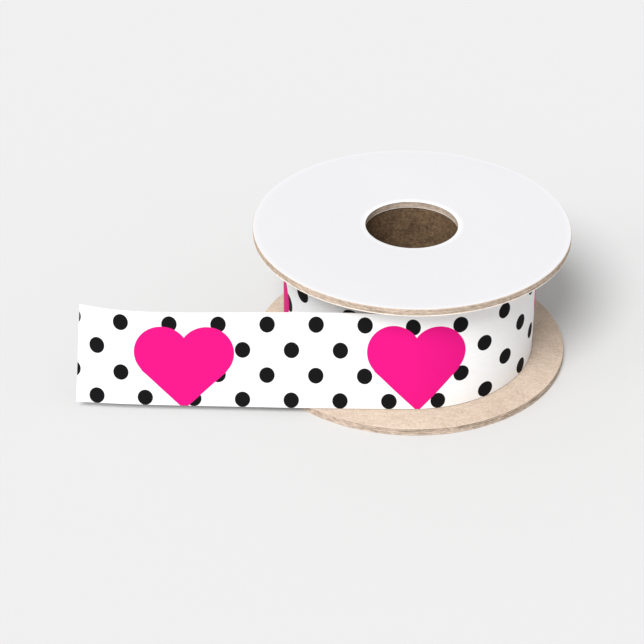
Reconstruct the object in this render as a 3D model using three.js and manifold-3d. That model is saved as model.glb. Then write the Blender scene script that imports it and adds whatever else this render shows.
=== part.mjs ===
// A spool of printed satin ribbon: two chipboard discs on a paper core, the wound ribbon between them,
// and the ribbon's free length pulled off the front, standing on edge. Millimetres, +Z up.

import * as THREE from 'three';
import { mergeVertices } from 'three/addons/utils/BufferGeometryUtils.js';
import Module from 'manifold-3d';

const wasm = await Module();
wasm.setup();

// Driving dimensions of the spool.
const discRadius = 56;
const boardThickness = 2.8;
const holeRadius = 16.5;
const ribbonSpace = 44.5;
const crushedEdge = 0.35;
const coreInnerRadius = 16.9;
const coreWall = 1.6;
const facingThickness = 1;
const pressedEdge = 0.85;
const pressedSteps = 3;
const fittingGap = 0.3;

// Driving dimensions of the ribbon.
const ribbonWidth = 38.1;
const rollRadius = 45.05;
const endThickness = 1;
const freeLength = 116.3;
const endCutSlant = 3.1;

// The lower disc and the winding both sit a little off the axis of the upper disc, as glued and wound.
const lowerDiscCentre = new THREE.Vector2(0.3, -1.5);
const rollCentre = new THREE.Vector2(-0.3, -0.9);

// Bands of turns that stand a little lower than their neighbours on the roll's upper side.
const lowBands = [
  { inner: 18, outer: 24.5, drop: 0.7 },
  { inner: 30, outer: 33.5, drop: 0.5 },
  { inner: 38, outer: 41, drop: 0.6 },
];

// The free length from where it leaves the roll: how far along, how far back from the straight line,
// and how far its upper edge leans back, in degrees.
const freeLengthShape = [
  { along: 0, back: 0, lean: 0 },
  { along: 20, back: 0.1, lean: 1 },
  { along: 40, back: 0.5, lean: 1.6 },
  { along: 60, back: 1.1, lean: 0.8 },
  { along: 80, back: 1.7, lean: -0.3 },
  { along: 95, back: 2.3, lean: 0 },
  { along: 106, back: 3, lean: 1.7 },
  { along: freeLength, back: 3.9, lean: 4.6 },
];

const roundSteps = 96;
const turnSteps = 72;
const freeSteps = 30;
const frontAngle = -Math.PI / 2;
const mergeDistance = 1e-4;

// Heights, from the surface that the spool lies on.
const lowerFace = boardThickness;
const upperFace = boardThickness + ribbonSpace;
const spoolHeight = upperFace + boardThickness;
const ribbonFoot = lowerFace + fittingGap;
const facingFoot = spoolHeight - facingThickness;

const coreFoot = lowerFace + fittingGap;
const coreTop = upperFace - fittingGap;
const coreOuterRadius = coreInnerRadius + coreWall;

const chipboard = { color: 0xd9bfa3, roughness: 0.9, metalness: 0 };
const paperTube = { color: 0x6b5646, roughness: 0.9, metalness: 0 };
const whitePaper = { color: 0xf3f2f7, roughness: 0.7, metalness: 0 };
const whiteSatin = { color: 0xfafafa, roughness: 0.45, metalness: 0 };

function piece(name, geometry, finish) {
  const mesh = new THREE.Mesh(geometry, new THREE.MeshStandardMaterial(finish));
  mesh.name = name;
  return mesh;
}

// A ring about an upright axis, turned from its section: radii and heights, anticlockwise from the
// inner foot.
function turnedRing(section, centre = new THREE.Vector2()) {
  const profile = section.map(([radius, height]) => new THREE.Vector2(radius, height));
  profile.push(profile[0].clone());
  const geometry = new THREE.LatheGeometry(profile, roundSteps);
  geometry.rotateX(Math.PI / 2);
  geometry.translate(centre.x, centre.y, 0);
  return geometry;
}

// The section of a die-cut disc, with the edges of its rim and hole crushed a little by the die.
function discSection(foot, top) {
  return [
    [holeRadius + crushedEdge, foot],
    [discRadius - crushedEdge, foot],
    [discRadius, foot + crushedEdge],
    [discRadius, top - crushedEdge],
    [discRadius - crushedEdge, top],
    [holeRadius + crushedEdge, top],
    [holeRadius, top - crushedEdge],
    [holeRadius, foot + crushedEdge],
  ];
}

// The section of the paper facing, rounded down where it is pressed over the rim and the hole.
function facingSection() {
  const outer = [];
  const inner = [];
  for (let step = 0; step <= pressedSteps; step += 1) {
    const angle = (step / pressedSteps) * (Math.PI / 2);
    const height = spoolHeight - pressedEdge * (1 - Math.sin(angle));
    const inset = pressedEdge * (1 - Math.cos(angle));
    outer.push([discRadius - inset, height]);
    inner.push([holeRadius + inset, height]);
  }
  return [[holeRadius, facingFoot], [discRadius, facingFoot], ...outer, ...inner.reverse()];
}

// Distance from the winding's centre to the outer face of its outermost turn. The turn fraction runs
// from 0 where that turn starts, at the front, to 1 where the ribbon leaves, at the front again.
function outerFaceRadius(turnFraction) {
  const growth = endThickness + fittingGap;
  return rollRadius + growth * (turnFraction - 0.5);
}

// A point and the outward direction on the winding. The ribbon runs to the left from the front, round
// the back and the right side, and to the front again.
function outwardAt(turnFraction) {
  const angle = frontAngle - turnFraction * 2 * Math.PI;
  return new THREE.Vector2(Math.cos(angle), Math.sin(angle));
}

// The outermost turn starts a little way past the step in the roll's outline.
const turnStart = fittingGap / (2 * Math.PI * rollRadius);

// The wound ribbon as one solid, whose outline is the spiral under the outermost turn.
function rollOutline() {
  const outline = new THREE.Shape();
  for (let step = 0; step <= turnSteps; step += 1) {
    const fraction = step / turnSteps;
    const radius = outerFaceRadius(fraction) - endThickness - fittingGap;
    const point = outwardAt(fraction).multiplyScalar(radius).add(rollCentre);
    if (step === 0) {
      outline.moveTo(point.x, point.y);
    } else {
      outline.lineTo(point.x, point.y);
    }
  }
  outline.closePath();
  const hole = new THREE.Path();
  hole.absarc(0, 0, coreOuterRadius + fittingGap, 0, 2 * Math.PI, false);
  outline.holes.push(hole);
  return outline;
}

function toManifold(geometry) {
  const bare = geometry.clone();
  bare.deleteAttribute('normal');
  bare.deleteAttribute('uv');
  const merged = mergeVertices(bare, mergeDistance);
  const vertProperties = new Float32Array(merged.attributes.position.array);
  const triVerts = new Uint32Array(merged.index.array);
  return new wasm.Manifold(new wasm.Mesh({ numProp: 3, vertProperties, triVerts }));
}

function toGeometry(solid) {
  const mesh = solid.getMesh();
  const geometry = new THREE.BufferGeometry();
  geometry.setAttribute('position', new THREE.BufferAttribute(mesh.vertProperties, 3));
  geometry.setIndex(new THREE.BufferAttribute(mesh.triVerts, 1));
  geometry.computeVertexNormals();
  return geometry;
}

function woundRoll() {
  const blank = new THREE.ExtrudeGeometry(rollOutline(), {
    depth: ribbonWidth,
    bevelEnabled: false,
    curveSegments: turnSteps / 2,
  });
  blank.translate(0, 0, ribbonFoot);
  let solid = toManifold(blank);
  const rollTop = ribbonFoot + ribbonWidth;
  for (const band of lowBands) {
    const low = rollTop - band.drop;
    const high = rollTop + band.drop;
    const groove = turnedRing(
      [[band.inner, low], [band.outer, low], [band.outer, high], [band.inner, high]],
    );
    solid = solid.subtract(toManifold(groove));
  }
  return toGeometry(solid);
}

// A smooth curve through one column of the free length's table.
function columnCurve(column) {
  return new THREE.SplineCurve(freeLengthShape.map((row) => new THREE.Vector2(row.along, row[column])));
}

// The outermost turn and the free length are one sheet on edge. The block's length is the distance
// along the ribbon, its depth the thickness and its height the width.
function ribbonSheet() {
  const steps = turnSteps + freeSteps;
  const block = new THREE.BoxGeometry(steps, endThickness, ribbonWidth, steps, 1, 1);
  const backCurve = columnCurve('back');
  const leanCurve = columnCurve('lean');
  const leaveRadius = outerFaceRadius(1) - endThickness / 2;
  const position = block.attributes.position;
  for (let index = 0; index < position.count; index += 1) {
    const step = Math.round(position.getX(index) + steps / 2);
    const outwards = position.getY(index);
    const upwards = position.getZ(index) + ribbonWidth / 2;
    if (step <= turnSteps) {
      const fraction = Math.max(step / turnSteps, turnStart);
      const radius = outerFaceRadius(fraction) - endThickness / 2 + outwards;
      const point = outwardAt(fraction).multiplyScalar(radius).add(rollCentre);
      position.setXYZ(index, point.x, point.y, ribbonFoot + upwards);
      continue;
    }
    const t = (step - turnSteps) / freeSteps;
    const cutBack = endCutSlant * (upwards / ribbonWidth) * t ** 6;
    const foot = backCurve.getPoint(t);
    const heading = backCurve.getTangent(t);
    const lean = THREE.MathUtils.degToRad(leanCurve.getPoint(t).y);
    const backwards = upwards * Math.sin(lean) - outwards * Math.cos(lean);
    const height = upwards * Math.cos(lean) + outwards * Math.sin(lean);
    const x = cutBack - foot.x + heading.y * backwards;
    const y = -leaveRadius + foot.y + heading.x * backwards;
    position.setXYZ(index, rollCentre.x + x, rollCentre.y + y, ribbonFoot + height);
  }
  block.computeVertexNormals();
  return block;
}

const coreSection = [
  [coreInnerRadius, coreFoot],
  [coreOuterRadius, coreFoot],
  [coreOuterRadius, coreTop],
  [coreInnerRadius, coreTop],
];
const lowerDisc = turnedRing(discSection(0, lowerFace), lowerDiscCentre);
const upperDisc = turnedRing(discSection(upperFace, facingFoot - fittingGap));

const spool = new THREE.Group();
spool.add(piece('board_bottom', lowerDisc, chipboard));
spool.add(piece('core_tube', turnedRing(coreSection), paperTube));
spool.add(piece('ribbon_roll', woundRoll(), whiteSatin));
spool.add(piece('ribbon_end', ribbonSheet(), whiteSatin));
spool.add(piece('board_top', upperDisc, chipboard));
spool.add(piece('paper_facing', turnedRing(facingSection()), whitePaper));

// The origin is on the surface, under the middle of the spool and its free length together.
const extent = new THREE.Box3().setFromObject(spool, true);
const middle = extent.getCenter(new THREE.Vector3());
spool.position.set(-middle.x, -middle.y, 0);

const ribbonSpool = new THREE.Group();
ribbonSpool.add(spool);
ribbonSpool.updateMatrixWorld(true);

export default ribbonSpool;
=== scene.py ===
import bmesh
import bpy
import math
from mathutils import Matrix, Vector, noise


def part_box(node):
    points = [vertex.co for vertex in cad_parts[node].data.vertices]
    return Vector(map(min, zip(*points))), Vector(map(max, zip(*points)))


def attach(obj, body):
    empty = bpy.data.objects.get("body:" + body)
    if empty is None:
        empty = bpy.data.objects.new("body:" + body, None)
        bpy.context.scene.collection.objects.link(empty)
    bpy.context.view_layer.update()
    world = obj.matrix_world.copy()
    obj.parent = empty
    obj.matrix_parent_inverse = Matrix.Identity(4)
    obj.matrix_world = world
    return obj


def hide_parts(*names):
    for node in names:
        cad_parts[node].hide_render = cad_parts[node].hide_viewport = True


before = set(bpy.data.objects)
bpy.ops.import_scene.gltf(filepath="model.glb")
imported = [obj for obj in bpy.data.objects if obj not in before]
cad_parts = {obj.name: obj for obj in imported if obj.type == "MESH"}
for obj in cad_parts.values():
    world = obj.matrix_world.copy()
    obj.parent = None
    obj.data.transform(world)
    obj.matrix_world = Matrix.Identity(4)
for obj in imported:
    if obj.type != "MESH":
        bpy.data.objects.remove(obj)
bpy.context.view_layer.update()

# Camera. It stands in front of the spool and above it, and looks down at about 33 degrees.
# Its place and lens come from fitting the outlines of both boards, the roll and the loose end.
camera_place = Vector((-0.00130, -0.58107, 0.38456))
camera_pitch = math.radians(32.846)
camera_roll = math.radians(0.170)
camera_data = bpy.data.cameras.new("camera")
camera_data.sensor_width = 36
camera_data.lens = 106.48
camera = bpy.data.objects.new("camera", camera_data)
looking_down = Matrix.Rotation(math.pi / 2 - camera_pitch, 4, "X")
rolled = Matrix.Rotation(camera_roll, 4, "Z")
camera.matrix_world = Matrix.Translation(camera_place) @ looking_down @ rolled
bpy.context.scene.collection.objects.link(camera)
bpy.context.scene.camera = camera
bpy.context.scene.view_settings.view_transform = "Standard"


# Floor and light. A pale floor with no edge in view, a soft light from the front left, a weaker low
# one further round to the left, and a pale room all round that fills the shadows.
floor_side = 12.0
floor_colour = (0.745, 0.745, 0.745, 1)
soft_lights = (
    {"name": "key_light", "height": 47, "from_left": 24, "spread": 26, "strength": 2.82},
    {"name": "side_light", "height": 21, "from_left": 62, "spread": 30, "strength": 0.45},
)
room_strength = 0.465
room_light_colour = (1, 1, 1, 1)
room_wall_colour = (0.871, 0.871, 0.871, 1)


def new_material(name, roughness, specular):
    """A material with its own surface shader, which is returned with it."""
    material = bpy.data.materials.new(name)
    material.use_nodes = True
    shader = material.node_tree.nodes["Principled BSDF"]
    shader.inputs["Roughness"].default_value = roughness
    shader.inputs["Specular IOR Level"].default_value = specular
    return material, shader


def linked_piece(name, bm, materials, crease=math.radians(35)):
    """Keep a finished shape as an object, with its place in its mesh."""
    for face in bm.faces:
        face.smooth = True
    mesh = bpy.data.meshes.new(name)
    bm.to_mesh(mesh)
    bm.free()
    mesh.set_sharp_from_angle(angle=crease)
    for material in materials:
        mesh.materials.append(material)
    piece = bpy.data.objects.new(name, mesh)
    bpy.context.scene.collection.objects.link(piece)
    return piece


floor_paint, floor_shader = new_material("floor_paint", roughness=0.9, specular=0.0)
floor_shader.inputs["Base Color"].default_value = floor_colour
bm = bmesh.new()
bmesh.ops.create_grid(bm, x_segments=1, y_segments=1, size=floor_side / 2)
floor = linked_piece("floor", bm, [floor_paint])

for soft_light in soft_lights:
    light_data = bpy.data.lights.new(soft_light["name"], "SUN")
    light_data.energy = soft_light["strength"]
    light_data.angle = math.radians(soft_light["spread"])
    light = bpy.data.objects.new(soft_light["name"], light_data)
    light_turn = Matrix.Rotation(-math.radians(soft_light["from_left"]), 4, "Z")
    light_tilt = Matrix.Rotation(math.radians(90 - soft_light["height"]), 4, "X")
    light.matrix_world = light_turn @ light_tilt
    bpy.context.scene.collection.objects.link(light)

room = bpy.data.worlds.new("room")
bpy.context.scene.world = room
room.use_nodes = True
room_nodes = room.node_tree.nodes
room_light = room_nodes["Background"]
room_light.inputs["Strength"].default_value = room_strength
room_light.inputs["Color"].default_value = room_light_colour
room_wall = room_nodes.new("ShaderNodeBackground")
room_wall.inputs["Color"].default_value = room_wall_colour
room_path = room_nodes.new("ShaderNodeLightPath")
room_mix = room_nodes.new("ShaderNodeMixShader")
room.node_tree.links.new(room_path.outputs["Is Camera Ray"], room_mix.inputs["Fac"])
room.node_tree.links.new(room_light.outputs["Background"], room_mix.inputs[1])
room.node_tree.links.new(room_wall.outputs["Background"], room_mix.inputs[2])
room.node_tree.links.new(room_mix.outputs["Shader"], room_nodes["World Output"].inputs["Surface"])


# Lower board. A chipboard disc of several plies with a punched hole, brown on its faces. The die has
# crushed its edges a little and split the plies apart along its rim. It carries everything else.
lower_low, lower_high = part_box("board_bottom")
board_radius = (lower_high.x - lower_low.x) / 2
board_hole_radius = 0.0165
board_softness = 0.0003
board_steps = 480
rim_rows = 20
hole_rows = 8
rim_roughness = 0.00006
ply_splits = (
    {"height": 0.26, "depth": 0.00055, "width": 0.00018, "seed": 26.2},
    {"height": 0.52, "depth": 0.00100, "width": 0.00022, "seed": 7.7},
    {"height": 0.80, "depth": 0.00075, "width": 0.00018, "seed": 55.43},
)
face_slot = 0
cut_slot = 1
kraft_pale = (0.81, 0.67, 0.55, 1)
kraft_dark = (0.56, 0.435, 0.335, 1)
cut_pale = (0.70, 0.568, 0.46, 1)
cut_dark = (0.30, 0.228, 0.175, 1)
weld_distance = 1e-6
touching = 1e-5


def middle_of(node):
    """The upright line through the middle of a solid."""
    low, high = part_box(node)
    return Vector(((low.x + high.x) / 2, (low.y + high.y) / 2, 0))


def new_group(name, numbers, outputs):
    """A shader node group with a coordinate, some numbers in, and some values out."""
    group = bpy.data.node_groups.new(name, "ShaderNodeTree")
    group.interface.new_socket("Place", in_out="INPUT", socket_type="NodeSocketVector")
    for number, value in numbers.items():
        socket = group.interface.new_socket(number, in_out="INPUT", socket_type="NodeSocketFloat")
        socket.default_value = value
    for output in outputs:
        group.interface.new_socket(output, in_out="OUTPUT", socket_type="NodeSocketFloat")
    ins = group.nodes.new("NodeGroupInput")
    outs = group.nodes.new("NodeGroupOutput")
    return group, ins, outs


def maths(tree, operation, *values):
    """A Math node fed with sockets or plain numbers, as its output socket."""
    node = tree.nodes.new("ShaderNodeMath")
    node.operation = operation
    for socket, value in zip(node.inputs, values):
        if isinstance(value, bpy.types.NodeSocket):
            tree.links.new(value, socket)
        else:
            socket.default_value = value
    return node.outputs["Value"]


def noise_value(tree, place, scale, detail, roughness=0.55, distortion=0.0):
    """A Noise texture on a coordinate, as its value socket."""
    node = tree.nodes.new("ShaderNodeTexNoise")
    node.inputs["Detail"].default_value = detail
    node.inputs["Roughness"].default_value = roughness
    node.inputs["Distortion"].default_value = distortion
    tree.links.new(place, node.inputs["Vector"])
    if isinstance(scale, bpy.types.NodeSocket):
        tree.links.new(scale, node.inputs["Scale"])
    else:
        node.inputs["Scale"].default_value = scale
    return node.outputs["Fac"]


def stretched(tree, place, scale):
    """A coordinate scaled by its own amount on each axis."""
    node = tree.nodes.new("ShaderNodeMapping")
    node.inputs["Scale"].default_value = scale
    tree.links.new(place, node.inputs["Vector"])
    return node.outputs["Vector"]


def spread(tree, value, low, high):
    """A value stretched so that low becomes 0 and high becomes 1."""
    node = tree.nodes.new("ShaderNodeMapRange")
    node.inputs["From Min"].default_value = low
    node.inputs["From Max"].default_value = high
    tree.links.new(value, node.inputs["Value"])
    return node.outputs["Result"]


def blended(tree, factor, first, second):
    """One colour turning into another, each a socket or a plain colour."""
    node = tree.nodes.new("ShaderNodeMix")
    node.data_type = "RGBA"
    tree.links.new(factor, node.inputs["Factor"])
    for socket, colour in ((node.inputs[6], first), (node.inputs[7], second)):
        if isinstance(colour, bpy.types.NodeSocket):
            tree.links.new(colour, socket)
        else:
            socket.default_value = colour
    return node.outputs[2]


def raised(tree, height, strength, distance):
    """A Bump node on a height, as its normal socket."""
    node = tree.nodes.new("ShaderNodeBump")
    node.inputs["Strength"].default_value = strength
    node.inputs["Distance"].default_value = distance
    tree.links.new(height, node.inputs["Height"])
    return node.outputs["Normal"]


def grouped(tree, group, place, **numbers):
    """A node group placed in a material with its own numbers."""
    node = tree.nodes.new("ShaderNodeGroup")
    node.node_tree = group
    tree.links.new(place, node.inputs["Place"])
    for number, value in numbers.items():
        node.inputs[number].default_value = value
    return node


def object_place(tree):
    """The place on the object, in metres."""
    return tree.nodes.new("ShaderNodeTexCoord").outputs["Object"]


def paper_fibres():
    """The fibres of every board and paper here: broad clouds, fine grain, and fibres that lie mostly
    one way. Tone runs from 0 to 1 and Height is the relief."""
    cloud_share = 0.28
    grain_share = 0.34
    fibre_share = 0.38
    lying_one_way = (0.22, 1.0, 1.0)
    group, ins, outs = new_group("paper_fibres", {"Grain": 900, "Clouds": 90}, ("Tone", "Height"))
    place = ins.outputs["Place"]
    grain_scale = ins.outputs["Grain"]
    clouds = noise_value(group, place, ins.outputs["Clouds"], detail=4, roughness=0.6)
    grain = noise_value(group, place, grain_scale, detail=2, roughness=0.6)
    lines = stretched(group, place, lying_one_way)
    fibres = noise_value(group, lines, grain_scale, detail=3, roughness=0.7, distortion=1.5)
    tone = maths(group, "MULTIPLY", clouds, cloud_share)
    tone = maths(group, "MULTIPLY_ADD", grain, grain_share, tone)
    tone = maths(group, "MULTIPLY_ADD", fibres, fibre_share, tone)
    group.links.new(spread(group, tone, low=0.38, high=0.62), outs.inputs["Tone"])
    group.links.new(fibres, outs.inputs["Height"])
    return group


fibre_group = paper_fibres()


def paper_material(
    name, pale, dark, grain_size, cloud_size, roughness, relief, squash=(1, 1, 1), specular=0.25
):
    """Paper or board whose colour and relief come from its fibres."""
    material, shader = new_material(name, roughness, specular)
    tree = material.node_tree
    place = stretched(tree, object_place(tree), squash)
    fibre = grouped(tree, fibre_group, place, Grain=1 / grain_size, Clouds=1 / cloud_size)
    tree.links.new(blended(tree, fibre.outputs["Tone"], dark, pale), shader.inputs["Base Color"])
    bump = raised(tree, fibre.outputs["Height"], strength=0.5, distance=relief)
    tree.links.new(bump, shader.inputs["Normal"])
    return material


board_face = paper_material(
    "board_face", kraft_pale, kraft_dark,
    grain_size=0.0009, cloud_size=0.009, roughness=0.85, relief=0.00006,
)
board_cut = paper_material(
    "board_cut_edge", cut_pale, cut_dark,
    grain_size=0.0014, cloud_size=0.005, roughness=0.95, relief=0.00015, squash=(1, 1, 3),
)


def turned_ring(inner, outer, foot, top, softness, steps, outer_rows=0, inner_rows=0):
    """Turn a round-cornered section about the upright axis, with rows of edges up its walls."""
    on_wall = 1e-7
    bm = bmesh.new()
    corners = ((inner, foot), (outer, foot), (outer, top), (inner, top))
    bm.faces.new([bm.verts.new((radius, 0, height)) for radius, height in corners])
    bmesh.ops.bevel(
        bm, geom=bm.verts[:], offset=softness, affect="VERTICES", segments=4, profile=0.5, material=-1
    )
    straight = (top - foot) / 2
    for radius, rows in ((outer, outer_rows), (inner, inner_rows)):
        wall = [
            edge for edge in bm.edges
            if edge.calc_length() > straight
            and all(abs(vert.co.x - radius) < on_wall for vert in edge.verts)
        ]
        bmesh.ops.subdivide_edges(bm, edges=wall, cuts=rows)
    bmesh.ops.delete(bm, geom=bm.faces[:], context="FACES_ONLY")
    bmesh.ops.spin(
        bm, geom=bm.verts[:] + bm.edges[:], cent=(0, 0, 0), axis=(0, 0, 1),
        angle=2 * math.pi, steps=steps, use_merge=True,
    )
    bmesh.ops.remove_doubles(bm, verts=bm.verts[:], dist=weld_distance)
    bmesh.ops.recalc_face_normals(bm, faces=bm.faces[:])
    return bm


def split_plies(bm, radius, foot, top, splits, roughness):
    """Press uneven splits between the plies into a board's rim, and roughen it."""
    grain_round = 60
    grain_up = 9
    waver_round = 4
    waver_height = 0.06
    long_gaps = 3.1
    short_gaps = 19
    usual_opening = 0.45
    opening_swing = 1.3
    for vert in bm.verts:
        reach = math.hypot(vert.co.x, vert.co.y)
        if reach < radius - touching:
            continue
        round_place = Vector((vert.co.x, vert.co.y, 0)) / radius
        height = (vert.co.z - foot) / (top - foot)
        grain = noise.noise(round_place * grain_round + Vector((0, 0, height * grain_up)))
        inwards = roughness * (0.5 + 0.5 * grain)
        for split in splits:
            seed = split["seed"]
            waver = waver_height * noise.noise(round_place * waver_round + Vector((0, 0, seed)))
            opening = noise.noise(round_place * long_gaps + Vector((seed, 0, 0)))
            opening += 0.5 * noise.noise(round_place * short_gaps + Vector((0, seed, 0)))
            opening = min(max(usual_opening + opening * opening_swing, 0), 1)
            away = (height - split["height"] - waver) * (top - foot) / split["width"]
            inwards += split["depth"] * opening * math.exp(-away * away)
        vert.co.x *= (reach - inwards) / reach
        vert.co.y *= (reach - inwards) / reach


def paint_cut_edges(bm):
    """Give the upright faces of a board the look of cut plies."""
    upright = 0.75
    for face in bm.faces:
        face.material_index = cut_slot if abs(face.normal.z) < upright else face_slot


bm = turned_ring(
    board_hole_radius, board_radius, lower_low.z, lower_high.z, board_softness, board_steps,
    outer_rows=rim_rows, inner_rows=hole_rows,
)
bm.normal_update()
paint_cut_edges(bm)
split_plies(bm, board_radius, lower_low.z, lower_high.z, ply_splits, rim_roughness)
bmesh.ops.translate(bm, verts=bm.verts[:], vec=middle_of("board_bottom"))
lower_board = linked_piece("lower_board", bm, [board_face, board_cut])
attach(lower_board, "root")
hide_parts("board_bottom")


# Core tube. A short tube of dark brown paper, wound on a slant, whose seam shows as a fine groove
# round its bore. Its ends are glued to the two boards.
spool_axis = middle_of("board_top")
core_low, core_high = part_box("core_tube")
core_outer_radius = (core_high.x - core_low.x) / 2
core_inner_radius = 0.0169
core_softness = 0.00015
core_steps = 144
core_seam_rows = 88
core_seam_rise = 0.052
core_seam_width = 0.0004
core_seam_depth = 0.00025
core_pale = (0.235, 0.153, 0.09, 1)
core_dark = (0.083, 0.051, 0.031, 1)
core_paper = paper_material(
    "core_paper", core_pale, core_dark,
    grain_size=0.0010, cloud_size=0.004, roughness=0.9, relief=0.00008, specular=0.0,
)

bm = turned_ring(
    core_inner_radius, core_outer_radius, core_low.z, core_high.z, core_softness, core_steps,
    inner_rows=core_seam_rows,
)
for vert in bm.verts:
    if math.hypot(vert.co.x, vert.co.y) < core_inner_radius + touching:
        around = math.atan2(vert.co.y, vert.co.x) / (2 * math.pi)
        off_seam = (vert.co.z / core_seam_rise - around + 0.5) % 1 - 0.5
        groove = math.exp(-(off_seam * core_seam_rise / core_seam_width) ** 2) * core_seam_depth
        vert.co.x *= 1 + groove / core_inner_radius
        vert.co.y *= 1 + groove / core_inner_radius
bmesh.ops.translate(bm, verts=bm.verts[:], vec=spool_axis)
core = linked_piece("core", bm, [core_paper])
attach(core, "root")
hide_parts("core_tube")


# Wound ribbon. About eighty turns of satin ribbon, wound tight on the core and standing on edge on
# the lower board. It is one long strip, so it is wound here as one, from the core outwards.
ribbon_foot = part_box("ribbon_roll")[0].z
ribbon_width = 0.0381
ribbon_thickness = 0.0003
ribbon_edge_softness = 0.0001
turn_pitch = 0.00033
roll_radius = 0.04505
roll_offset = Vector((-0.0003, -0.0009, 0))
inner_turns = 79
steps_each_turn = 96
front_angle = -math.pi / 2
edge_unevenness = 0.00012
edge_unevenness_pace = 0.83
low_bands = (
    {"inner": 0.0180, "outer": 0.0245, "drop": 0.0007},
    {"inner": 0.0300, "outer": 0.0335, "drop": 0.0005},
    {"inner": 0.0380, "outer": 0.0410, "drop": 0.0006},
)
low_band_shoulder = 0.0005
satin_white = (0.93, 0.93, 0.935, 1)
satin_shade = (0.80, 0.80, 0.81, 1)
winding_streaks = (400, 400, 4000)


def turn_radius(turn):
    """Radius of the outer face. Turns are counted from 0 where the ribbon leaves, back to the core."""
    return roll_radius + turn_pitch * (turn + 0.5)


def turn_direction(turn):
    """Outward direction. The ribbon runs round to the left and leaves the roll at the front."""
    angle = front_angle - turn * 2 * math.pi
    return Vector((math.cos(angle), math.sin(angle), 0))


def turn_centre(turn):
    """The winding starts true on the core and ends a little off its axis."""
    share = (turn_radius(turn) - core_outer_radius) / (roll_radius - core_outer_radius)
    return spool_axis + roll_offset * min(share, 1)


def edge_drop(turn):
    """How far the upper edge of a turn stands below full height."""
    radius = turn_radius(turn)
    drop = edge_unevenness * (0.5 + 0.5 * noise.noise(Vector((turn * edge_unevenness_pace, 0, 0))))
    for band in low_bands:
        past_inner = min(max((radius - band["inner"]) / low_band_shoulder, 0), 1)
        before_outer = min(max((band["outer"] - radius) / low_band_shoulder, 0), 1)
        drop += band["drop"] * past_inner * before_outer
    return drop


def satin_weave():
    """Long floats of thread side by side, finer than the eye sees from a step away."""
    group, ins, outs = new_group(
        "satin_weave", {"Float length": 1.3, "Thread width": 0.15}, ("Tone", "Height")
    )
    bricks = group.nodes.new("ShaderNodeTexBrick")
    bricks.offset = 0.4
    bricks.inputs["Scale"].default_value = 1
    bricks.inputs["Mortar Size"].default_value = 0.02
    bricks.inputs["Mortar Smooth"].default_value = 1
    bricks.inputs["Color1"].default_value = (0, 0, 0, 1)
    bricks.inputs["Color2"].default_value = (1, 1, 1, 1)
    bricks.inputs["Mortar"].default_value = (0.2, 0.2, 0.2, 1)
    group.links.new(ins.outputs["Place"], bricks.inputs["Vector"])
    group.links.new(ins.outputs["Float length"], bricks.inputs["Brick Width"])
    group.links.new(ins.outputs["Thread width"], bricks.inputs["Row Height"])
    group.links.new(bricks.outputs["Color"], outs.inputs["Tone"])
    group.links.new(maths(group, "SUBTRACT", 1.0, bricks.outputs["Fac"]), outs.inputs["Height"])
    return group


weave_group = satin_weave()
wound_satin, wound_shader = new_material("wound_satin", roughness=0.5, specular=0.3)
wound_tree = wound_satin.node_tree
wound_place = stretched(wound_tree, object_place(wound_tree), winding_streaks)
wound_tone = noise_value(wound_tree, wound_place, scale=1.0, detail=2)
wound_tone = spread(wound_tree, wound_tone, low=0.3, high=0.7)
wound_colour = blended(wound_tree, wound_tone, satin_shade, satin_white)
wound_tree.links.new(wound_colour, wound_shader.inputs["Base Color"])

bm = bmesh.new()
strip_section = (
    (0, ribbon_edge_softness), (0, ribbon_width - ribbon_edge_softness), (-0.5, ribbon_width),
    (-1, ribbon_width - ribbon_edge_softness), (-1, ribbon_edge_softness), (-0.5, 0),
)
for turn in range(inner_turns):
    corners = [
        bm.verts.new((roll_radius + inwards * ribbon_thickness, 0, up))
        for inwards, up in strip_section
    ]
    for pair in zip(corners, corners[1:] + corners[:1]):
        bm.edges.new(pair)
section_corners = len(bm.verts)
bmesh.ops.spin(
    bm, geom=bm.verts[:] + bm.edges[:], cent=(0, 0, 0), axis=(0, 0, 1),
    angle=2 * math.pi, steps=steps_each_turn, use_merge=False,
)
for count, vert in enumerate(bm.verts):
    step, corner = divmod(count, section_corners)
    turn = corner // len(strip_section) - inner_turns - 1 + step / steps_each_turn
    inwards = roll_radius - math.hypot(vert.co.x, vert.co.y)
    lowered = edge_drop(turn) * vert.co.z / ribbon_width
    place = turn_centre(turn) + turn_direction(turn) * (turn_radius(turn) - inwards)
    vert.co = place + Vector((0, 0, ribbon_foot + vert.co.z - lowered))
bmesh.ops.remove_doubles(bm, verts=bm.verts[:], dist=weld_distance)
open_ends = [edge for edge in bm.edges if edge.is_boundary]
bmesh.ops.holes_fill(bm, edges=open_ends, sides=len(strip_section))
bmesh.ops.recalc_face_normals(bm, faces=bm.faces[:])
wound_ribbon = linked_piece("wound_ribbon", bm, [wound_satin])
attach(wound_ribbon, "root")
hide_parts("ribbon_roll")


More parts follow.
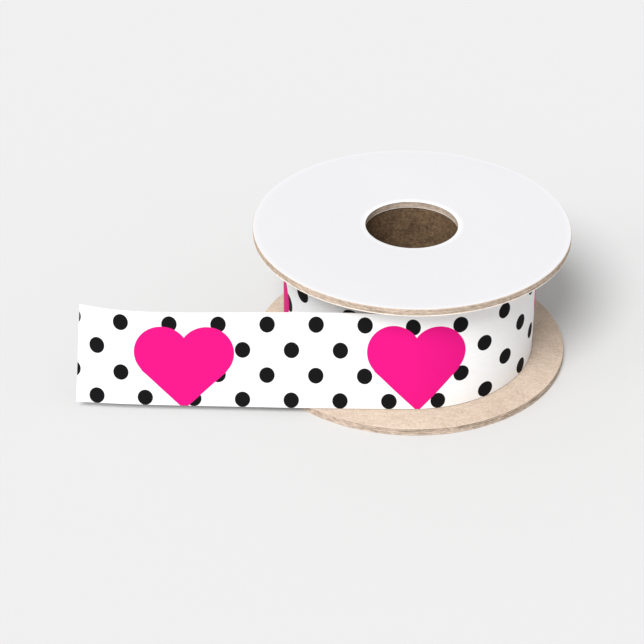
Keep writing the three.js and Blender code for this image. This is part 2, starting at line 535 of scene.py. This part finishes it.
# Outermost turn and loose end. The last turn of the same satin ribbon and the length pulled off it,
# which stands on edge and runs to the left. Black dots and pink hearts are printed on its outer side.
# Places along it are counted from where it leaves the roll, and are negative on the roll.
turn_length = 2 * math.pi * roll_radius
free_length = 0.1163
end_cut_slant = 0.0031
end_cut_sharpness = 6
turn_columns = 240
free_columns = 110
width_rows = 24
free_length_shape = (
    {"along": 0.0, "back": 0.0, "lean": 0.0},
    {"along": 0.020, "back": 0.0001, "lean": 2.2},
    {"along": 0.040, "back": 0.0005, "lean": 2.0},
    {"along": 0.060, "back": 0.0011, "lean": 0.8},
    {"along": 0.080, "back": 0.0017, "lean": -0.3},
    {"along": 0.095, "back": 0.0023, "lean": 0.0},
    {"along": 0.106, "back": 0.0030, "lean": 1.7},
    {"along": free_length, "back": 0.0039, "lean": 4.6},
)
hearts_printed = (
    {"along": 0.0777, "lift": 0.0, "tip_drop": 0.0002},
    {"along": -0.0007, "lift": 0.0014, "tip_drop": 0.0010},
    {"along": -0.0705, "lift": 0.0010, "tip_drop": 0.0},
    {"along": -0.1366, "lift": 0.0, "tip_drop": 0.0},
    {"along": -0.2044, "lift": 0.0, "tip_drop": 0.0},
)
print_shift = 0.00019
print_fan = 0.023
print_fan_middle = 0.0265
print_lead = (
    {"along": 0.120, "lead": 0.0},
    {"along": -0.016, "lead": 0.0},
    {"along": -0.070, "lead": 0.0081},
    {"along": -0.212, "lead": 0.0020},
    {"along": -0.226, "lead": 0.0044},
    {"along": -0.284, "lead": 0.0214},
)
print_slant = (
    {"along": 0.120, "slant": 0.0},
    {"along": 0.010, "slant": 0.0},
    {"along": -0.005, "slant": 0.0010},
    {"along": -0.018, "slant": 0.0012},
    {"along": -0.028, "slant": 0.0017},
    {"along": -0.038, "slant": 0.0030},
    {"along": -0.047, "slant": 0.0037},
    {"along": -0.070, "slant": 0.0037},
    {"along": -0.110, "slant": 0.0},
    {"along": -0.284, "slant": 0.0},
)
print_slant_middle = 0.42
print_lowered = (
    {"along": 0.120, "lowered": 0.0},
    {"along": 0.0, "lowered": 0.0},
    {"along": -0.030, "lowered": 0.032},
    {"along": -0.080, "lowered": 0.032},
    {"along": -0.130, "lowered": 0.0},
    {"along": -0.284, "lowered": 0.0},
)
dot_pitch = 16.43
dot_row_pitch = 10.13
dot_first_row = 3.1
dot_first_column = 8.7
dot_half_width = 2.6
dot_half_height = 3.2
dot_edge = 0.04
lobe_middle = 7.55
lobe_half_width = 9.35
lobe_height = 22.0
lobe_half_height = 10.5
lobe_join = 1.0
tip_slope = 0.9
tip_height = -1.35
tip_widest = 14.15
tip_top = 18.0
heart_edge = 0.05
printed_slot = 0
reverse_slot = 1
ink_black = (0.0095, 0.0095, 0.0102, 1)
ink_pink = (0.78, 0.0100, 0.225, 1)
thread_shade = (0.91, 0.91, 0.915, 1)
thread_white = (0.965, 0.965, 0.97, 1)
bounced_grey = (0.35, 0.35, 0.35, 1)


def along_curve(name, share):
    """A smooth curve through one column of the free length's table."""
    rows = [row[name] for row in free_length_shape]
    position = share * (len(rows) - 1)
    first = min(int(position), len(rows) - 2)
    past = position - first
    before, start, end, after = (rows[min(max(first + k, 0), len(rows) - 1)] for k in (-1, 0, 1, 2))
    leaving = (end - before) / 2
    arriving = (after - start) / 2
    cubic = 2 * start - 2 * end + leaving + arriving
    square = -3 * start + 3 * end - 2 * leaving - arriving
    return ((cubic * past + square) * past + leaving) * past + start


def free_place(share, up):
    """The outer face of the free length, and how far along the uncut ribbon that point is."""
    step = 0.001
    low = max(share - step, 0)
    high = min(share + step, 1)
    run = along_curve("along", high) - along_curve("along", low)
    retreat = along_curve("back", high) - along_curve("back", low)
    heading = Vector((run, retreat)).normalized()
    lean = math.radians(along_curve("lean", share))
    cut_back = end_cut_slant * (up / ribbon_width) * share ** end_cut_sharpness
    backwards = up * math.sin(lean)
    left = along_curve("along", share) - cut_back - heading.y * backwards
    back = along_curve("back", share) + heading.x * backwards
    place = turn_centre(0) + Vector((-left, -turn_radius(0) + back, ribbon_foot + up * math.cos(lean)))
    return place, along_curve("along", share) - cut_back


def turn_place(turn, up):
    """The outer face of the outermost turn, and how far along the ribbon that point is."""
    lift = Vector((0, 0, ribbon_foot + up))
    return turn_centre(turn) + turn_direction(turn) * turn_radius(turn) + lift, turn * turn_length


def read_off(rows, column, along):
    """A value from a table, between the two rows that a place along the ribbon falls between."""
    for ahead, behind in zip(rows, rows[1:]):
        if along >= behind["along"]:
            break
    share = (ahead["along"] - along) / (ahead["along"] - behind["along"])
    return ahead[column] + share * (behind[column] - ahead[column])


def print_place(along, up):
    """Where a point of the ribbon lies on the print, which fans a little towards the loose end, is
    drawn out over both front quarters of the roll, and slants and stands low on the right one."""
    share_up = up / ribbon_width
    fanned = print_shift + print_fan * (1 - share_up) * (print_fan_middle - max(along, 0))
    lead = read_off(print_lead, "lead", along)
    slant = read_off(print_slant, "slant", along) * (print_slant_middle - share_up)
    return along + fanned + lead + slant, up * (1 + read_off(print_lowered, "lowered", along))


def squared(tree, value):
    """A value times itself."""
    return maths(tree, "POWER", value, 2.0)


def dots_and_hearts():
    """The print: staggered rows of dots, and hearts of two round lobes on a wedge, in millimetres."""
    group, ins, outs = new_group(
        "dots_and_hearts", {"From heart": 99, "Heart height": 0}, ("Dots", "Hearts")
    )
    place = group.nodes.new("ShaderNodeSeparateXYZ")
    group.links.new(ins.outputs["Place"], place.inputs["Vector"])
    along = place.outputs["X"]
    up = place.outputs["Y"]

    rows = maths(group, "DIVIDE", maths(group, "SUBTRACT", up, dot_first_row), dot_row_pitch)
    row = maths(group, "ROUND", rows)
    off_row = maths(group, "MULTIPLY", maths(group, "SUBTRACT", rows, row), dot_row_pitch)
    stagger = maths(group, "MULTIPLY", maths(group, "FLOORED_MODULO", row, 2.0), dot_pitch / 2)
    columns = maths(group, "SUBTRACT", maths(group, "SUBTRACT", along, dot_first_column), stagger)
    off_column = maths(group, "WRAP", columns, dot_pitch / 2, -dot_pitch / 2)
    dot_wide = squared(group, maths(group, "DIVIDE", off_column, dot_half_width))
    dot_high = squared(group, maths(group, "DIVIDE", off_row, dot_half_height))
    dots = spread(group, maths(group, "ADD", dot_wide, dot_high), 1 + dot_edge, 1 - dot_edge)
    group.links.new(dots, outs.inputs["Dots"])

    aside = maths(group, "ABSOLUTE", ins.outputs["From heart"])
    heart_up = ins.outputs["Heart height"]
    off_lobe = maths(group, "SUBTRACT", aside, lobe_middle)
    above_lobe = maths(group, "SUBTRACT", heart_up, lobe_height)
    lobe_wide = squared(group, maths(group, "DIVIDE", off_lobe, lobe_half_width))
    lobe_high = squared(group, maths(group, "DIVIDE", above_lobe, lobe_half_height))
    lobes = maths(group, "SUBTRACT", 1.0, maths(group, "ADD", lobe_wide, lobe_high))
    lobes = maths(group, "MULTIPLY", lobes, lobe_half_width / 2)
    wedge = maths(group, "MULTIPLY", maths(group, "SUBTRACT", heart_up, tip_height), tip_slope)
    wedge = maths(group, "SUBTRACT", maths(group, "MINIMUM", wedge, tip_widest), aside)
    wedge = maths(group, "MINIMUM", wedge, maths(group, "SUBTRACT", tip_top, heart_up))
    hearts = maths(group, "SMOOTH_MAX", lobes, wedge, lobe_join)
    group.links.new(spread(group, hearts, -heart_edge, heart_edge), outs.inputs["Hearts"])
    return group


print_group = dots_and_hearts()


def uv_millimetres(tree, uv_name):
    """A piece's own flat coordinates, in millimetres."""
    from_metres = (1000, 1000, 1000)
    node = tree.nodes.new("ShaderNodeUVMap")
    node.uv_map = uv_name
    return stretched(tree, node.outputs["UV"], from_metres)


def printed_satin(name, ink_share, roughness):
    """White satin under its print. On the reverse only a share of the ink shows through. The light
    that it sends on to the floor and the boards is kept neutral, as in the photograph."""
    material, shader = new_material(name, roughness, specular=0.01)
    tree = material.node_tree
    place = uv_millimetres(tree, "along_and_up")
    printed = grouped(tree, print_group, place)
    heart_place = tree.nodes.new("ShaderNodeSeparateXYZ")
    tree.links.new(uv_millimetres(tree, "from_heart"), heart_place.inputs["Vector"])
    tree.links.new(heart_place.outputs["X"], printed.inputs["From heart"])
    tree.links.new(heart_place.outputs["Y"], printed.inputs["Heart height"])
    weave = grouped(tree, weave_group, place)
    thread = blended(tree, weave.outputs["Tone"], thread_shade, thread_white)
    dots = maths(tree, "MULTIPLY", printed.outputs["Dots"], ink_share)
    hearts = maths(tree, "MULTIPLY", printed.outputs["Hearts"], ink_share)
    inked = blended(tree, hearts, blended(tree, dots, thread, ink_black), ink_pink)
    # Bounced light sees the ribbon as a plain mid grey instead of its print, which dims and
    # neutralises the light it sends on to the floor and boards: painted shade in their lighting.
    sent_on = tree.nodes.new("ShaderNodeLightPath").outputs["Is Diffuse Ray"]
    tree.links.new(blended(tree, sent_on, inked, bounced_grey), shader.inputs["Base Color"])
    bump = raised(tree, weave.outputs["Height"], strength=0.25, distance=0.00002)
    tree.links.new(bump, shader.inputs["Normal"])
    return material


outer_satin = printed_satin("printed_satin", ink_share=1.0, roughness=0.45)
inner_satin = printed_satin("satin_reverse", ink_share=0.1, roughness=0.6)

bm = bmesh.new()
all_columns = turn_columns + free_columns
bmesh.ops.create_grid(bm, x_segments=all_columns, y_segments=width_rows, size=0.5)
print_uv = bm.loops.layers.uv.new("along_and_up")
heart_uv = bm.loops.layers.uv.new("from_heart")
printed_at = {}
for vert in bm.verts:
    column = round((vert.co.x + 0.5) * all_columns)
    up = (vert.co.y + 0.5) * ribbon_width
    if column <= turn_columns:
        place, along = turn_place(column / turn_columns - 1, up)
    else:
        place, along = free_place((column - turn_columns) / free_columns, up)
    vert.co = place
    printed_at[vert] = print_place(along, up)
for face in bm.faces:
    middle = sum(printed_at[vert][0] for vert in face.verts) / len(face.verts)
    nearest = min(hearts_printed, key=lambda heart: abs(heart["along"] - middle))
    for loop in face.loops:
        along, up = printed_at[loop.vert]
        loop[print_uv].uv = (along, up)
        lowered_tip = nearest["tip_drop"] * (1 - up / ribbon_width)
        loop[heart_uv].uv = (along - nearest["along"], up - nearest["lift"] + lowered_tip)
bmesh.ops.reverse_faces(bm, faces=bm.faces[:])
outer_faces = set(bm.faces)
bmesh.ops.solidify(bm, geom=bm.faces[:], thickness=ribbon_thickness)
for face in bm.faces:
    face.material_index = printed_slot if face in outer_faces else reverse_slot
outer_ribbon = linked_piece("outer_turn_and_loose_end", bm, [outer_satin, inner_satin])
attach(outer_ribbon, "root")
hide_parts("ribbon_end")


# Upper board. A chipboard disc like the lower one, glued on the core. Its lower face has a pale
# liner, whose edge shows as a light line under the rim.
upper_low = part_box("board_top")[0].z
facing_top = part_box("paper_facing")[1].z
paper_thickness = 0.00008
glue_thickness = 0.00005
upper_top = facing_top - paper_thickness - glue_thickness
upper_softness = 0.00015
upper_rim_roughness = 0.00005
upper_splits = (
    {"height": 0.22, "depth": 0.0005, "width": 0.00016, "seed": 32.49},
    {"height": 0.62, "depth": 0.0002, "width": 0.00014, "seed": 5.48},
)
rim_press_width = 0.0008
rim_press_drop = 0.00008
hole_press_width = 0.0013
hole_press_drop = 0.0002
liner_slot = 2
liner_thickness = 0.0004
liner_pale = (0.92, 0.87, 0.82, 1)
liner_dark = (0.72, 0.64, 0.56, 1)
liner_edge = paper_material(
    "liner_edge", liner_pale, liner_dark,
    grain_size=0.0010, cloud_size=0.005, roughness=0.9, relief=0.00005,
)


def pressed_by(reach):
    """How far the upper side is pressed down near the rim and the hole."""
    near_hole = min(max(1 - (reach - board_hole_radius) / hole_press_width, 0), 1)
    near_rim = min(max(1 - (board_radius - reach) / rim_press_width, 0), 1)
    return hole_press_drop * near_hole ** 2 + rim_press_drop * near_rim ** 2


bm = turned_ring(
    board_hole_radius, board_radius, upper_low, upper_top, upper_softness, board_steps,
    outer_rows=rim_rows, inner_rows=hole_rows,
)
bm.normal_update()
paint_cut_edges(bm)
level = 0.999
upper_side = [face for face in bm.faces if face.normal.z > level]
bmesh.ops.inset_region(
    bm, faces=upper_side, thickness=hole_press_width, use_boundary=True, use_even_offset=True
)
pressed_depth = 1.5 * upper_softness
for vert in bm.verts:
    if vert.co.z > upper_top - pressed_depth:
        vert.co.z -= pressed_by(math.hypot(vert.co.x, vert.co.y))
for face in bm.faces:
    in_liner = face.calc_center_median().z < upper_low + liner_thickness
    if face.material_index == cut_slot and in_liner:
        face.material_index = liner_slot
split_plies(bm, board_radius, upper_low, upper_top, upper_splits, upper_rim_roughness)
bmesh.ops.translate(bm, verts=bm.verts[:], vec=spool_axis)
upper_board = linked_piece("upper_board", bm, [board_face, board_cut, liner_edge])
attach(upper_board, "root")
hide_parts("board_top")


# Paper facing. White paper laminated on the upper board, pressed down over its rim and the rim of
# its hole. A painted highlight lightens the paper in rings along the rim and round the hole.
facing_pale = (0.785, 0.783, 0.805, 1)
facing_dark = (0.765, 0.762, 0.785, 1)
# Lighter colour of the painted highlight rings at the rim and round the hole.
facing_painted_highlight = (0.90, 0.90, 0.905, 1)
facing_grain = 0.0008
facing_clouds = 0.03
facing_inset = 0.0002
facing_hole_radius = 0.01635
facing_steps = 360
press_steps = 5
highlight_rim_width = 3 * rim_press_width
highlight_rim_share = 0.4
highlight_hole_width = 1.6 * hole_press_width

facing_paper, facing_shader = new_material("facing_paper", roughness=0.6, specular=0.3)
facing_tree = facing_paper.node_tree
facing_place = object_place(facing_tree)
facing_fibre = grouped(
    facing_tree, fibre_group, facing_place, Grain=1 / facing_grain, Clouds=1 / facing_clouds
)
facing_colour = blended(facing_tree, facing_fibre.outputs["Tone"], facing_dark, facing_pale)
facing_split = facing_tree.nodes.new("ShaderNodeSeparateXYZ")
facing_tree.links.new(facing_place, facing_split.inputs["Vector"])
off_axis_x = maths(facing_tree, "SUBTRACT", facing_split.outputs["X"], spool_axis.x)
off_axis_y = maths(facing_tree, "SUBTRACT", facing_split.outputs["Y"], spool_axis.y)
reach = maths(facing_tree, "ADD", squared(facing_tree, off_axis_x), squared(facing_tree, off_axis_y))
reach = maths(facing_tree, "SQRT", reach)
# Painted highlight: a lighter colour is blended in along the rim, at a share, and fully round the
# hole.
rim_highlight = spread(facing_tree, reach, board_radius - highlight_rim_width, board_radius)
rim_highlight = maths(facing_tree, "MULTIPLY", rim_highlight, highlight_rim_share)
hole_highlight = spread(facing_tree, reach, board_hole_radius + highlight_hole_width, board_hole_radius)
painted_highlight_share = maths(facing_tree, "MAXIMUM", rim_highlight, hole_highlight)
facing_colour = blended(facing_tree, painted_highlight_share, facing_colour, facing_painted_highlight)
facing_tree.links.new(facing_colour, facing_shader.inputs["Base Color"])
facing_bump = raised(facing_tree, facing_fibre.outputs["Height"], strength=0.3, distance=0.00002)
facing_tree.links.new(facing_bump, facing_shader.inputs["Normal"])

bm = bmesh.new()
press = [step / press_steps for step in range(press_steps + 1)]
hole_reach = board_hole_radius + hole_press_width - facing_hole_radius
across = [facing_hole_radius + hole_reach * share for share in press]
rim_reach = rim_press_width - facing_inset
across += [board_radius - facing_inset - rim_reach * share for share in reversed(press)]
upper_line = [(radius, facing_top - pressed_by(radius)) for radius in across]
lower_line = [(radius, height - paper_thickness) for radius, height in reversed(upper_line)]
corners = [bm.verts.new((radius, 0, height)) for radius, height in upper_line + lower_line]
sides = [bm.edges.new(pair) for pair in zip(corners, corners[1:] + corners[:1])]
bmesh.ops.spin(
    bm, geom=corners + sides, cent=(0, 0, 0), axis=(0, 0, 1),
    angle=2 * math.pi, steps=facing_steps, use_merge=True,
)
bmesh.ops.remove_doubles(bm, verts=bm.verts[:], dist=weld_distance)
bmesh.ops.recalc_face_normals(bm, faces=bm.faces[:])
bmesh.ops.translate(bm, verts=bm.verts[:], vec=spool_axis)
facing = linked_piece("facing", bm, [facing_paper])
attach(facing, "root")
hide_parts("paper_facing")
